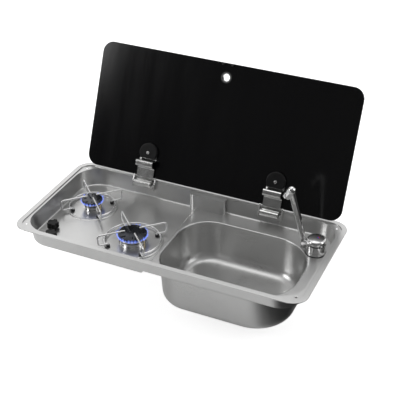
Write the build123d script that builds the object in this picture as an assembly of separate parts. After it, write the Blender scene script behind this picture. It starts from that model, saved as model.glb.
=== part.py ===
"""Two-burner hob and sink combination with a glass lid, a drop-in appliance for a small kitchen.

Millimetres. The origin is at the centre of the rim's underside, +X runs along the length to the tap's end,
+Y to the rear where the lid is hinged, and +Z up. The lid stands open and the spout stands up.
"""
from build123d import *
from math import atan2, cos, degrees, hypot, pi, radians, sin, tan
import os

os.makedirs("parts", exist_ok=True)

# ---- Rim and tray ----
RIM_W = 775.0            # length of the rim
RIM_D = 365.5            # depth of the rim, front to back
RIM_R = 40.0             # outer corner radius
RIM_T = 2.0              # height of the hemmed rim above the worktop
SHEET = 0.8              # steel thickness
LIP_INSET = 13.5         # rim's outer edge to the step down to the corner webs
LIP_R = 28.0
LEDGE_Z = -0.5           # top of the corner webs
PAN_X0 = -367.5          # tray opening, left
PAN_X1 = 367.5           # tray opening, right
PAN_Y = 166.75           # tray opening, front and back
PAN_R_LEFT = 62.0
PAN_R_RIGHT = 64.0
WALL_DRAFT = 6.0         # degrees
HOB_Z = -48.0            # floor round the burners
DECK_Z = -41.0           # floor round the bowl
FLOOR_FILLET = 5.0
STEP_TOP = -27.0         # where the floor rises to the deck
STEP_RUN = 6.0
HOLE_X = 360.0           # corner fixing holes
HOLE_Y = 152.0
HOLE_R = 2.3
HOLE_SINK_R = 4.4

# ---- Boss in the rear wall ----
BOSS_X0 = -48.0
BOSS_X1 = 55.5
BOSS_FRONT = 146.0
BOSS_Z = LEDGE_Z
BOSS_R = 14.0

# ---- Bowl ----
BOWL_X0 = -20.0
BOWL_X1 = 327.0
BOWL_Y0 = -147.0
BOWL_Y1 = 109.0
BOWL_R_LEFT = 85.0
BOWL_R_RIGHT = 104.0
BOWL_ROLL = 3.0          # radius of the rolled edge of the opening
ROLL_LAND = 6.0
COLLAR_Z = -51.0         # where the turned-down edge meets the bowl
BOWL_Z = -154.0          # bowl's floor, inside
BOWL_DRAFT = 4.0
BOWL_FILLET = 26.0

# ---- Waste ----
WASTE_X = 152.5
WASTE_Y = -47.5
WASTE_BORE = 20.5        # hole in the bowl
WASTE_TUBE = 19.5
WASTE_WALL = 2.0
WASTE_FLANGE_R = 31.0
WASTE_FLANGE_T = 1.4
WASTE_GASKET_R = 30.0
WASTE_GASKET_T = 2.5
WASTE_NUT_R = 33.0
WASTE_NUT_H = 4.4
WASTE_TUBE_Z = -169.5        # lower end of the threaded tube
CUP_Z = -188.2           # underside of the cup
CUP_R = 22.5
CUP_WALL = 2.5
SPIGOT_R = 12.5
SPIGOT_BORE = 10.0
SPIGOT_L = 34.0          # beyond its root, to the rear
ROOT_R = 13.2            # the flat shoulder at the spigot's root
ROOT_Y = 24.5
STRAINER_BARS = 5

# ---- Burners ----
SMALL_X = -286.0
SMALL_Y = 48.0
LARGE_X = -113.0
LARGE_Y = -50.0
SMALL_BODY_R = 21.5
LARGE_BODY_R = 32.5
SMALL_CAP_R = 27.8
LARGE_CAP_R = 37.3
SMALL_PORTS = 20
LARGE_PORTS = 28
CUP_TOP = -37.0
BAND_TOP = -33.0
CROWN_TOP = -25.5
CAP_TOP = -20.5
NECK_R = 15.0
NECK_HOLE = 16.0
NECK_END = -58.0
MIXER_R = 8.0
MIXER_Z = -60.0
MIXER_CUP_R = 17.0
MIXER_LENGTH = 72.0
BELL_R = 10.5
INJECTOR_R = 5.5
INJECTOR_L = 13.0
PORT_W = 2.0
PROBE_R = 2.0
PROBE_GAP = 2.2
PROBE_TOP = -29.0
PROBE_AZ = -15.0         # degrees round the burner from +X

# ---- Bead rings ----
SMALL_BEAD_R = 63.5
LARGE_BEAD_R = 74.5
BEAD_HALF = 4.0
BEAD_H = 2.0

# ---- Pan supports and grommets ----
SMALL_FOOT_R = 54.0
LARGE_FOOT_R = 65.0
SMALL_REACH = 84.0
LARGE_REACH = 92.0
SMALL_INNER = 13.5
LARGE_INNER = 21.0
WIRE_R = 2.3
WIRE_TOP = -11.0         # centre of the top wires
WIRE_LOW = -39.5         # centre of the return wires
WIRE_BEND = 7.0
WIRE_LEAN = 2.0          # how far a loop's outer leg leans in
FOOT_BEND = 2.5
FOOT_Z = -50.5           # lower end of the feet
GROMMET_R = 5.0
GROMMET_NECK = 3.6
GROMMET_BORE = 2.7
GROMMET_TOP = -42.6
GROMMET_FLARE = 1.5
ARM_AZ = (45.0, 135.0, 225.0, 315.0)
RING_START = -45.0       # the low ring runs round the back and the sides
RING_SWEEP = 270.0

# ---- Knobs and gas valves ----
KNOB_A = (-330.0, -80.0)
KNOB_B = (-310.5, -122.0)
KNOB_R = 15.5
KNOB_Z0 = -44.0
KNOB_H = 13.5
KNOB_LOBES = 5
KNOB_NOTCH = 4.2
SPINDLE_R = 3.6
SPINDLE_FIT = 0.06
SPINDLE_HOLE = 4.6       # hole in the floor
SPINDLE_END = -58.5
SPINDLE_COLLAR_R = 6.0
VALVE_SIZE = 22.0
VALVE_TOP = -51.0
VALVE_BOTTOM = -65.0
VALVE_NECK_R = 8.0
VALVE_BORE_END = -62.0
PIPE_R = 4.0
PIPE_Z = MIXER_Z
PIPE_BEND = 14.0
INLET_Y = 120.0
INLET_NUT = 17.0
INLET_L = 16.0
INLET_BORE = 3.0

# ---- Lid ----
GLASS_W = 731.0
GLASS_D = 341.3
GLASS_T = 5.0
GLASS_R = 30.0
GLASS_EDGE = 1.0
PIN_Y = 166.75           # hinge axis
PIN_Z = 7.0
PIN_BELOW = 3.4          # axis to the underside of the glass
LID_OPEN = 112.9         # degrees from closed
HINGE_X = 183.0          # each hinge from the lid's middle
LID_X = -4.0             # the lid's middle
HINGES = (LID_X - HINGE_X, LID_X + HINGE_X)
FINGER_UP = 304.0        # finger hole, from the hinged edge
FINGER_R = 12.0
FINGER_RING_R = 14.5
FINGER_BORE = 10.0
FINGER_RING_T = 1.4
BUFFER_X = 13.0
BUFFER_UP = 338.0
BUFFER_R = 3.0
BUFFER_H = 8.0

# ---- Hinges ----
STRAP_W = 49.0
STRAP_T = 1.4
STRAP_RISE_UP = 26.0     # where the strap swings out from the glass
STRAP_CREST = 25.0       # how far out its roll stands
STRAP_CREST_UP = 31.0
STRAP_BACK_UP = 45.5
STRAP_BEND = 4.5
STRAP_END_UP = 76.0
STRAP_SEAT = 0.15        # clear of the glass
PIN_R = 1.5
CURL_FIT = 0.08
EAR_X = 30.0             # inner face of an ear, from the hinge's middle
EAR_T = 3.0
EAR_R = 3.0
PLATE_T = 1.6
PLATE_TOP = -5.0
PLATE_BOTTOM = -24.0
EAR_DEPTH = 12.0
COVER_T = 1.4            # curled sheet in front of the pin
COVER_LOW = -12.0
COVER_Y = 144.6
COVER_TOP = 2.6
COVER_END = 158.0
COVER_BEND = 6.0
PAD_UP = 67.0
PAD_R = 26.0
PAD_T = 9.5
PAD_CUT = 51.0
PAD_SCREW_R = 4.0
PAD_SCREW_H = 2.4
PAD_SCREW_SHANK = 2.0
RIVET_X = 13.0
RIVET_Z = -16.0
RIVET_R = 3.0
RIVET_H = 1.6

# ---- Tap ----
TAP_X = 327.6
TAP_Y = 89.0
TAP_R = 25.5
TAP_GASKET_R = 26.5
TAP_GASKET_T = 1.4
TAP_BASE_TOP = -31.0
TAP_CORE_R = 21.0
TAP_FIT = 0.08
COLLAR_TOP = -20.0
SLEEVE_TOP = -13.0
CORE_TOP = -12.0
STEM_R = 9.0
STEM_BORE = 9.4
STEM_Z = -30.0
STEM_TOP = -9.5
TILT_Z = -5.5            # the lever lifts about a pin here
TILT_R = 1.5
TILT_HALF = 13.0
TONGUE = 8.0
HOLLOW_R = 10.5
DOME_Z = -8.5
DOME_TOP = 1.0
DOME_R = 25.5
DOME_WALL = 3.0
LEVER_AZ = 231.5         # degrees from +X
LEVER_REACH = 45.0
LEVER_TIP_R = 5.5
LEVER_T = 5.0
LEVER_TILT = 8.0         # degrees of lift, for clearance
MARK_R = 3.2
MARK_T = 0.5
SPOUT_AZ = 190.0
SPOUT_PIVOT = 31.5       # tap's axis to the folding pin
SPOUT_PIVOT_Z = -12.0
SPOUT_RISE = 75.2        # degrees above flat in the stored pose
SPOUT_LENGTH = 146.0
SPOUT_W = 17.0           # across
SPOUT_H0 = 11.0          # height of the arm's section at the pin
SPOUT_H1 = 17.5          # and at its outer end
NOZZLE_TURN = 136.0      # degrees from the arm's direction to the nozzle's
NOZZLE_R = 10.5
NOZZLE_L = 24.0
NOZZLE_BORE = 7.0
AERATOR_L = 4.0
CHEEK_W = 9.0            # fork on the collar
CHEEK_T = 3.0
FORK_GAP = 0.4
FOLD_PIN_R = 2.2
FOLD_HEAD_R = 4.0
FOLD_HEAD_H = 1.6
SHANK_R = 14.0
SHANK_HOLE = 15.0
SHANK_END = -74.0
SHANK_BORE = 9.0
TAP_NUT_R = 19.0
TAP_NUT_H = 8.0
TAP_WASHER_R = 20.0
TAP_WASHER_T = 2.0
TAP_TAIL_R = 4.0
TAP_TAIL_X = 4.6
TAP_TAIL_END = -125.0

PLAY = 0.5               # between pieces that only pass each other
FAR = 500.0
TINY = 0.01


def save(name, shape, label=None):
    """Write one node, with its solids named, to its own file."""
    shape.label = label or name
    export_step(shape, f"parts/{name}.step")


def outline(x0, x1, y0, y1, r_left, r_right, z=0.0):
    """A rectangle whose left and right corners have their own radii."""
    face = Pos((x0 + x1) / 2, (y0 + y1) / 2) * Rectangle(x1 - x0, y1 - y0)
    left = [v for v in face.vertices() if v.X < (x0 + x1) / 2]
    face = fillet(left, r_left)
    right = [v for v in face.vertices() if abs(v.X - x1) < TINY]
    face = fillet(right, r_right)
    return Pos(0, 0, z) * face


def well(x0, x1, y0, y1, r_left, r_right, top, bottom, draft, r_bottom):
    """A block that narrows downwards, with its lower edge rounded."""
    face = outline(x0, x1, y0, y1, r_left, r_right, top)
    block = extrude(face, amount=top - bottom, dir=(0, 0, -1), taper=draft)
    floor = block.faces().sort_by(Axis.Z)[0]
    return fillet(floor.edges(), r_bottom)


def disc(x, y, z0, z1, radius):
    """An upright cylinder between two heights."""
    return Pos(x, y, (z0 + z1) / 2) * Cylinder(radius, z1 - z0)


def tube(x, y, z0, z1, outer, inner):
    """An upright tube between two heights."""
    return disc(x, y, z0, z1, outer) - disc(x, y, z0 - 1, z1 + 1, inner)


def along_y(x, y, z, length, radius):
    """A cylinder that runs to the rear from a point."""
    lying = Rot(-90, 0, 0) * Cylinder(radius, length, align=(Align.CENTER, Align.CENTER, Align.MIN))
    return Pos(x, y, z) * lying


def block(x0, x1, y0, y1, z0, z1):
    """A box from its corners."""
    return Pos((x0 + x1) / 2, (y0 + y1) / 2, (z0 + z1) / 2) * Box(x1 - x0, y1 - y0, z1 - z0)


def ring_prism(inset_out, r_out, inset_in, r_in, z0, z1):
    """A band that follows the rim."""
    outer = RectangleRounded(RIM_W - 2 * inset_out, RIM_D - 2 * inset_out, r_out)
    inner = RectangleRounded(RIM_W - 2 * inset_in, RIM_D - 2 * inset_in, r_in)
    return extrude(Pos(0, 0, z0) * (outer - inner), amount=z1 - z0)


def yz_face(points):
    """A flat face in the YZ plane from its corners."""
    corners = [Vector(0, y, z) for y, z in points]
    return make_face(Polyline(*corners, close=True))


def xz_face(points):
    """A flat face in the XZ plane from its corners."""
    corners = [Vector(x, 0, z) for x, z in points]
    return make_face(Polyline(*corners, close=True))


def pipe(points, radius, bend):
    """A round pipe along a line of corners, each rounded."""
    path = FilletPolyline(*points, radius=bend)
    start = path @ 0
    profile = Plane(origin=start, z_dir=path % 0) * Circle(radius)
    return sweep(profile, path=path)


# ---------------------------------------------------------------- tray
def tray_well(grow, bottom):
    """The tray's inside, or its outside when grown by the sheet's thickness."""
    return well(PAN_X0 - grow, PAN_X1 + grow, -PAN_Y - grow, PAN_Y + grow,
                PAN_R_LEFT + grow, PAN_R_RIGHT + grow, LEDGE_Z, bottom - grow, WALL_DRAFT,
                FLOOR_FILLET + grow)


def hob_side(grow):
    """Everything left of the step between the hob's floor and the deck."""
    low = HOB_Z - 3 * FLOOR_FILLET
    run = STEP_RUN * (DECK_Z - low) / (DECK_Z - HOB_Z)
    corners = [(-FAR, FAR), (STEP_TOP + grow, FAR), (STEP_TOP + grow, DECK_Z),
               (STEP_TOP + grow - run, low), (-FAR, low)]
    return extrude(xz_face(corners), amount=RIM_D, both=True)


def boss(grow):
    """The boss in the rear wall, open below and behind."""
    x0, x1 = BOSS_X0 + grow, BOSS_X1 - grow
    face = outline(x0, x1, BOSS_FRONT + grow, BOSS_FRONT + RIM_D, BOSS_R - grow, BOSS_R - grow)
    body = extrude(Pos(0, 0, -FAR) * face, amount=FAR + BOSS_Z - grow)
    return body


def bead(x, y, radius, drop):
    """The solid under a pressed bead, lowered by the sheet for its underside."""
    z = HOB_Z - drop
    arc = ThreePointArc((radius - BEAD_HALF, 0, z), (radius, 0, z + BEAD_H), (radius + BEAD_HALF, 0, z))
    base = Polyline((radius + BEAD_HALF, 0, z), (radius + BEAD_HALF, 0, z - TINY),
                    (radius - BEAD_HALF, 0, z - TINY), (radius - BEAD_HALF, 0, z))
    return Pos(x, y, 0) * revolve(make_face([arc, base]), Axis.Z)


def deck_block(grow):
    """A block round the bowl's opening, its upper inner edge rounded."""
    top = DECK_Z - grow
    land = outline(BOWL_X0 - ROLL_LAND, BOWL_X1 + ROLL_LAND, BOWL_Y0 - ROLL_LAND, BOWL_Y1 + ROLL_LAND,
                   BOWL_R_LEFT + ROLL_LAND, BOWL_R_RIGHT + ROLL_LAND, COLLAR_Z)
    hole = outline(BOWL_X0 - grow, BOWL_X1 + grow, BOWL_Y0 - grow, BOWL_Y1 + grow,
                   BOWL_R_LEFT + grow, BOWL_R_RIGHT + grow, COLLAR_Z)
    body = extrude(land, amount=top - COLLAR_Z) - extrude(hole, amount=top - COLLAR_Z)
    upper = body.faces().sort_by(Axis.Z)[-1]
    return fillet(upper.inner_wires()[0].edges(), BOWL_ROLL - grow)


def feet(x, y, radius):
    """Where the four feet of a pan support stand."""
    return [(x + radius * cos(radians(a)), y + radius * sin(radians(a))) for a in ARM_AZ]


ALL_FEET = feet(SMALL_X, SMALL_Y, SMALL_FOOT_R) + feet(LARGE_X, LARGE_Y, LARGE_FOOT_R)
BURNERS = {"small": (SMALL_X, SMALL_Y), "large": (LARGE_X, LARGE_Y)}


def build_tray():
    rim = ring_prism(0, RIM_R, LIP_INSET, LIP_R, 0, RIM_T)
    rim = fillet(rim.faces().sort_by(Axis.Z)[-1].outer_wire().edges(), RIM_T * 0.7)
    rim = fillet(rim.faces().sort_by(Axis.Z)[-1].inner_wires()[0].edges(), RIM_T * 0.3)
    joggle = ring_prism(LIP_INSET - SHEET, LIP_R + SHEET, LIP_INSET, LIP_R, LEDGE_Z - SHEET, RIM_T / 2)
    web_face = Pos(0, 0, LEDGE_Z - SHEET) * RectangleRounded(RIM_W - 2 * LIP_INSET, RIM_D - 2 * LIP_INSET, LIP_R)
    web = extrude(web_face, amount=SHEET)
    outside = tray_well(SHEET, DECK_Z) + (tray_well(SHEET, HOB_Z) & hob_side(SHEET))
    inside = tray_well(0, DECK_Z) + (tray_well(0, HOB_Z) & hob_side(0))
    inside = inside - boss(0)
    outside = outside - boss(SHEET)
    rings = [(SMALL_X, SMALL_Y, SMALL_BEAD_R), (LARGE_X, LARGE_Y, LARGE_BEAD_R)]
    for x, y, radius in rings:
        inside = inside - bead(x, y, radius, 0)
        outside = outside - bead(x, y, radius, SHEET)
    tray = rim + joggle + web + outside - inside
    land = outline(BOWL_X0 - ROLL_LAND, BOWL_X1 + ROLL_LAND, BOWL_Y0 - ROLL_LAND, BOWL_Y1 + ROLL_LAND,
                   BOWL_R_LEFT + ROLL_LAND, BOWL_R_RIGHT + ROLL_LAND, COLLAR_Z - SHEET)
    tray = tray - extrude(land, amount=DECK_Z - COLLAR_Z + 2 * SHEET)
    tray = tray + (deck_block(0) - deck_block(SHEET))
    for x, y in BURNERS.values():
        tray = tray - disc(x, y, HOB_Z - 5, HOB_Z + 5, NECK_HOLE)
    for x, y in ALL_FEET:
        tray = tray - disc(x, y, HOB_Z - 5, HOB_Z + 5, GROMMET_NECK)
    for x, y in (KNOB_A, KNOB_B):
        tray = tray - disc(x, y, HOB_Z - 5, HOB_Z + 5, SPINDLE_HOLE)
    for name, (x, y) in BURNERS.items():
        px, py = probe_place(name)
        tray = tray - disc(px, py, HOB_Z - 5, HOB_Z + 5, PROBE_R + 0.5)
    tray = tray - disc(TAP_X, TAP_Y, DECK_Z - 5, DECK_Z + 1, SHANK_HOLE)
    for sx in (-1, 1):
        for sy in (-1, 1):
            drill = disc(sx * HOLE_X, sy * HOLE_Y, LEDGE_Z - 3, LEDGE_Z + 3, HOLE_R)
            sink = Pos(sx * HOLE_X, sy * HOLE_Y, LEDGE_Z - SHEET / 4) * Cone(HOLE_R, HOLE_SINK_R, SHEET / 2)
            tray = tray - drill - sink
    return tray


def probe_place(name):
    """Where the flame probe stands beside a burner."""
    x, y = BURNERS[name]
    body = SMALL_BODY_R if name == "small" else LARGE_BODY_R
    reach = body + 3 + PROBE_GAP + PROBE_R
    return x + reach * cos(radians(PROBE_AZ)), y + reach * sin(radians(PROBE_AZ))


def build_bowl():
    outside = well(BOWL_X0 - SHEET, BOWL_X1 + SHEET, BOWL_Y0 - SHEET, BOWL_Y1 + SHEET, BOWL_R_LEFT + SHEET,
                   BOWL_R_RIGHT + SHEET, COLLAR_Z, BOWL_Z - SHEET, BOWL_DRAFT, BOWL_FILLET + SHEET)
    inside = well(BOWL_X0, BOWL_X1, BOWL_Y0, BOWL_Y1, BOWL_R_LEFT, BOWL_R_RIGHT, COLLAR_Z, BOWL_Z,
                  BOWL_DRAFT, BOWL_FILLET)
    return outside - inside - disc(WASTE_X, WASTE_Y, BOWL_Z - 5, BOWL_Z + 5, WASTE_BORE)


# ---------------------------------------------------------------- waste
def build_waste():
    top = BOWL_Z + WASTE_FLANGE_T
    under = BOWL_Z - SHEET
    bore = WASTE_TUBE - WASTE_WALL
    flange = disc(WASTE_X, WASTE_Y, BOWL_Z, top, WASTE_FLANGE_R)
    flange = fillet(flange.faces().sort_by(Axis.Z)[-1].edges(), WASTE_FLANGE_T * 0.6)
    flange = flange + disc(WASTE_X, WASTE_Y, WASTE_TUBE_Z, BOWL_Z, WASTE_TUBE)
    flange = flange - disc(WASTE_X, WASTE_Y, WASTE_TUBE_Z - 1, top + 1, bore)
    pitch = 2 * bore / (STRAINER_BARS + 1)
    cross = disc(WASTE_X, WASTE_Y, under - 1, BOWL_Z, bore + TINY)
    bars = None
    for i in range(STRAINER_BARS):
        x = WASTE_X - bore + pitch * (i + 1)
        bar = block(x - 1, x + 1, WASTE_Y - bore, WASTE_Y + bore, under - 1, BOWL_Z)
        bars = bar if bars is None else bars + bar
    bars = bars + block(WASTE_X - bore, WASTE_X + bore, WASTE_Y - 1, WASTE_Y + 1, under - 1, BOWL_Z)
    flange = flange + (bars & cross)
    gasket = tube(WASTE_X, WASTE_Y, under - WASTE_GASKET_T, under, WASTE_GASKET_R, WASTE_TUBE)
    nut_top = under - WASTE_GASKET_T
    nut = extrude(Pos(WASTE_X, WASTE_Y, nut_top - WASTE_NUT_H) * RegularPolygon(WASTE_NUT_R, 8), amount=WASTE_NUT_H)
    nut = nut - disc(WASTE_X, WASTE_Y, nut_top - WASTE_NUT_H - 1, nut_top + 1, WASTE_TUBE)
    cup_top = nut_top - WASTE_NUT_H - PLAY
    cup = disc(WASTE_X, WASTE_Y, CUP_Z, cup_top, CUP_R)
    axis = CUP_Z + SPIGOT_R + PLAY / 2
    spigot = along_y(WASTE_X, WASTE_Y, axis, ROOT_Y + SPIGOT_L, SPIGOT_R)
    spigot = spigot + along_y(WASTE_X, WASTE_Y, axis, ROOT_Y, ROOT_R)
    hollow = disc(WASTE_X, WASTE_Y, CUP_Z + CUP_WALL, cup_top + 1, WASTE_TUBE)
    way = along_y(WASTE_X, WASTE_Y, axis, ROOT_Y + SPIGOT_L + 1, SPIGOT_BORE)
    tail = cup + spigot - hollow - way
    return flange, gasket, nut, tail


# ---------------------------------------------------------------- burners
def build_burner(name, body, cap_r, ports, mixer_az):
    x, y = BURNERS[name]
    crown_r = body + 3
    cup = disc(x, y, HOB_Z, HOB_Z + 1.4, body + 2.5) + disc(x, y, HOB_Z, CUP_TOP, body)
    cup = cup - disc(x, y, HOB_Z - 1, CUP_TOP + 1, NECK_R)
    band = tube(x, y, CUP_TOP, BAND_TOP, body + 0.8, NECK_R)
    crown = disc(x, y, BAND_TOP, CROWN_TOP, crown_r) + disc(x, y, NECK_END, BAND_TOP, NECK_R)
    crown = crown - disc(x, y, NECK_END - 1, CROWN_TOP - 2, NECK_R - 2)
    port = block(crown_r - 3, crown_r + 1, -PORT_W / 2, PORT_W / 2, CROWN_TOP - 3.4, CROWN_TOP + 1)
    for i in range(ports):
        crown = crown - Pos(x, y, 0) * Rot(0, 0, 360 * i / ports) * port
    cap = disc(x, y, CROWN_TOP, CAP_TOP, cap_r)
    cap = fillet(cap.faces().sort_by(Axis.Z)[-1].edges(), 2.0)
    # mixer: a cup round the neck with a side tube and a bell mouth
    mixer = disc(0, 0, MIXER_Z - MIXER_R, NECK_END + 4, MIXER_CUP_R)
    along = Rot(0, 90, 0) * Cylinder(MIXER_R, MIXER_LENGTH, align=(Align.CENTER, Align.CENTER, Align.MIN))
    bell = Rot(0, 90, 0) * Cylinder(BELL_R, 12, align=(Align.CENTER, Align.CENTER, Align.MIN))
    mixer = mixer + Pos(0, 0, MIXER_Z) * along + Pos(MIXER_LENGTH - 12, 0, MIXER_Z) * bell
    way = Rot(0, 90, 0) * Cylinder(MIXER_R - 2, MIXER_LENGTH + 2, align=(Align.CENTER, Align.CENTER, Align.MIN))
    mouth = Rot(0, 90, 0) * Cylinder(BELL_R - 1.5, 8, align=(Align.CENTER, Align.CENTER, Align.MIN))
    mixer = mixer - Pos(0, 0, MIXER_Z) * way - Pos(MIXER_LENGTH - 6, 0, MIXER_Z) * mouth
    above = NECK_END + MIXER_R
    mixer = mixer - disc(0, 0, MIXER_Z, above, NECK_R - 2) - disc(0, 0, NECK_END, above, NECK_R)
    hex_face = Plane(origin=(MIXER_LENGTH - 7, 0, MIXER_Z), z_dir=(1, 0, 0)) * RegularPolygon(INJECTOR_R, 6)
    injector = extrude(hex_face, amount=INJECTOR_L + 7)
    strut = block(MIXER_LENGTH - 5, MIXER_LENGTH - 2, -BELL_R + 1, BELL_R - 1, MIXER_Z - 2, MIXER_Z + 2)
    strut = strut - Pos(MIXER_LENGTH - 8, 0, MIXER_Z) * Rot(0, 90, 0) * Cylinder(
        INJECTOR_R, 10, align=(Align.CENTER, Align.CENTER, Align.MIN))
    turn = Pos(x, y, 0) * Rot(0, 0, mixer_az)
    px, py = probe_place(name)
    probe = disc(px, py, HOB_Z - 18, PROBE_TOP, PROBE_R)
    probe = fillet(probe.faces().sort_by(Axis.Z)[-1].edges(), PROBE_R * 0.6)
    probe = probe + tube(px, py, HOB_Z - SHEET - 3, HOB_Z - SHEET, PROBE_R + 3, PROBE_R - 0.2)
    return cup, band, crown, cap, turn * (mixer + strut), turn * injector, probe


# ---------------------------------------------------------------- pan supports
def build_support(x, y, foot_r, reach, inner):
    """Four looped arms that share a low ring; feet stand in the grommets."""
    body = None
    for az in ARM_AZ:
        knee = foot_r + 2 * WIRE_BEND
        loop = [(inner, 0, WIRE_TOP), (reach, 0, WIRE_TOP), (reach - WIRE_LEAN, 0, WIRE_LOW), (knee, 0, WIRE_LOW)]
        foot = [(knee, 0, WIRE_LOW), (foot_r, 0, WIRE_LOW), (foot_r, 0, FOOT_Z)]
        arm = pipe(loop, WIRE_R, WIRE_BEND) + pipe(foot, WIRE_R, FOOT_BEND)
        tip = Pos(inner, 0, WIRE_TOP) * Sphere(WIRE_R)
        arm = Pos(x, y, 0) * Rot(0, 0, az) * (arm + tip)
        body = arm if body is None else body + arm
    loop = Pos(0, 0, WIRE_LOW) * CenterArc((0, 0), foot_r + WIRE_BEND, RING_START, RING_SWEEP)
    profile = Plane(origin=loop @ 0, z_dir=loop % 0) * Circle(WIRE_R * 0.9)
    return body + Pos(x, y, 0) * sweep(profile, path=loop)


def build_grommets():
    parts = []
    for x, y in ALL_FEET:
        cap = disc(x, y, HOB_Z, GROMMET_TOP, GROMMET_R)
        cap = fillet(cap.faces().sort_by(Axis.Z)[-1].edges(), GROMMET_FLARE)
        cap = cap + disc(x, y, HOB_Z - SHEET, HOB_Z, GROMMET_NECK)
        cap = cap + disc(x, y, HOB_Z - SHEET - 2, HOB_Z - SHEET, GROMMET_R)
        parts.append(cap - disc(x, y, HOB_Z - 10, GROMMET_TOP + 1, GROMMET_BORE))
    return Compound(children=parts)


# ---------------------------------------------------------------- knobs and gas
def build_knob(x, y):
    """A lobed knob that is gripped between its lobes."""
    knob = disc(x, y, KNOB_Z0, KNOB_Z0 + KNOB_H, KNOB_R)
    for i in range(KNOB_LOBES):
        a = radians(360 * (i + 0.5) / KNOB_LOBES + 18)
        nx, ny = x + (KNOB_R + 1.6) * cos(a), y + (KNOB_R + 1.6) * sin(a)
        knob = knob - disc(nx, ny, KNOB_Z0 - 1, KNOB_Z0 + KNOB_H + 1, KNOB_NOTCH + 1.5)
    rims = knob.faces().sort_by(Axis.Z)
    knob = fillet(rims[-1].edges(), 1.6)
    knob = knob + disc(x, y, KNOB_Z0 + 1, KNOB_Z0 + KNOB_H, KNOB_R * 0.55)
    return knob - disc(x, y, KNOB_Z0 - 1, KNOB_Z0 + KNOB_H - 3, SPINDLE_R + SPINDLE_FIT)


def build_spindle(x, y):
    z1 = KNOB_Z0 + KNOB_H - 3.4
    return disc(x, y, SPINDLE_END, z1, SPINDLE_R)


def build_valve(x, y):
    half = VALVE_SIZE / 2
    body = block(x - half, x + half, y - half, y + half, VALVE_BOTTOM, VALVE_TOP)
    body = fillet(body.edges().filter_by(Axis.Z), 3)
    body = body + disc(x, y, VALVE_TOP, HOB_Z - SHEET, VALVE_NECK_R)
    body = body - disc(x, y, VALVE_BORE_END, HOB_Z, SPINDLE_R + SPINDLE_FIT)
    return body


def build_gas():
    ax, ay = KNOB_A
    bx, by = KNOB_B
    half = VALVE_SIZE / 2
    straight = Pos(ax, ay + half, PIPE_Z) * Rot(-90, 0, 0) * Cylinder(
        PIPE_R, INLET_Y - ay - half, align=(Align.CENTER, Align.CENTER, Align.MIN))
    nut_face = Plane(origin=(ax, INLET_Y, PIPE_Z), z_dir=(0, 1, 0)) * RegularPolygon(INLET_NUT / 2, 6)
    rail = straight + extrude(nut_face, amount=INLET_L)
    bore = Pos(ax, INLET_Y - 10, PIPE_Z) * Rot(-90, 0, 0) * Cylinder(
        INLET_BORE, INLET_L + 20, align=(Align.CENTER, Align.CENTER, Align.MIN))
    rail = rail - bore
    link = Pos((ax + bx) / 2, 0, 0) * block(-PIPE_R, PIPE_R, by + half, ay - half, PIPE_Z - PIPE_R, PIPE_Z + PIPE_R)
    start_s = SMALL_Y - MIXER_LENGTH - INJECTOR_L
    feed_s = pipe([(SMALL_X, start_s, PIPE_Z), (SMALL_X, ay, PIPE_Z), (ax + half, ay, PIPE_Z)], PIPE_R, PIPE_BEND)
    start_l = LARGE_X - MIXER_LENGTH - INJECTOR_L
    mid = (start_l + bx) / 2
    feed_l = pipe([(start_l, LARGE_Y, PIPE_Z), (mid, LARGE_Y, PIPE_Z), (mid, by, PIPE_Z), (bx + half, by, PIPE_Z)],
                  PIPE_R, PIPE_BEND)
    return rail, link, feed_s, feed_l


# ---------------------------------------------------------------- lid
GLASS_UNDER = PIN_Z + PIN_BELOW


def opened(shape):
    """Turn a piece drawn on the closed lid to the open lid of the stored pose."""
    return shape.rotate(Axis((0, PIN_Y, PIN_Z), (1, 0, 0)), -LID_OPEN)


def lid_y(up):
    """Distance from the hinged edge to Y on the closed lid."""
    return PIN_Y - up


def build_strap(x):
    """A spring-steel strap: an eye round the pin, a ribbon with a roll in it and a flat foot under the glass."""
    eye_r = PIN_R + CURL_FIT
    middle = eye_r + STRAP_T / 2
    seat = STRAP_SEAT + STRAP_T / 2
    low = PIN_BELOW + middle
    corners = [(0, low), (STRAP_RISE_UP, low), (STRAP_CREST_UP, STRAP_CREST), (STRAP_BACK_UP, STRAP_CREST),
               (STRAP_BACK_UP, seat), (STRAP_END_UP, seat)]
    line = FilletPolyline(*corners, radius=STRAP_BEND)
    ribbon = make_face(offset(line, amount=STRAP_T / 2, side=Side.BOTH))
    section = ribbon + Pos(0, PIN_BELOW) * Circle(eye_r + STRAP_T) - Pos(0, PIN_BELOW) * Circle(eye_r)
    side = Plane(origin=(0, PIN_Y, GLASS_UNDER), x_dir=(0, -1, 0), z_dir=(1, 0, 0))
    strap = extrude(side * section, amount=STRAP_W / 2, both=True)
    hole = Pos(0, lid_y(PAD_UP), GLASS_UNDER) * Cylinder(PAD_SCREW_SHANK + 0.2, 4 * STRAP_T)
    return opened(Pos(x, 0, 0) * (strap - hole))


def build_pad(x):
    """The round pad that holds the strap to the glass."""
    y = lid_y(PAD_UP)
    pad = disc(0, y, GLASS_UNDER - PAD_T, GLASS_UNDER, PAD_R)
    pad = fillet(pad.faces().sort_by(Axis.Z)[0].edges(), 2.5)
    pad = pad - block(-PAD_R - 1, PAD_R + 1, lid_y(PAD_CUT), lid_y(0), GLASS_UNDER - PAD_T - 1, GLASS_UNDER + 1)
    slot_end = lid_y(STRAP_END_UP + STRAP_T)
    pad = pad - block(-STRAP_W / 2 - 0.1, STRAP_W / 2 + 0.1, slot_end, lid_y(0),
                      GLASS_UNDER - STRAP_T - 2 * STRAP_SEAT, GLASS_UNDER + 1)
    pad = pad - disc(0, y, GLASS_UNDER - PAD_T - 1, GLASS_UNDER + 1, PAD_SCREW_SHANK + 0.1)
    return opened(Pos(x, 0, 0) * pad)


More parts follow.
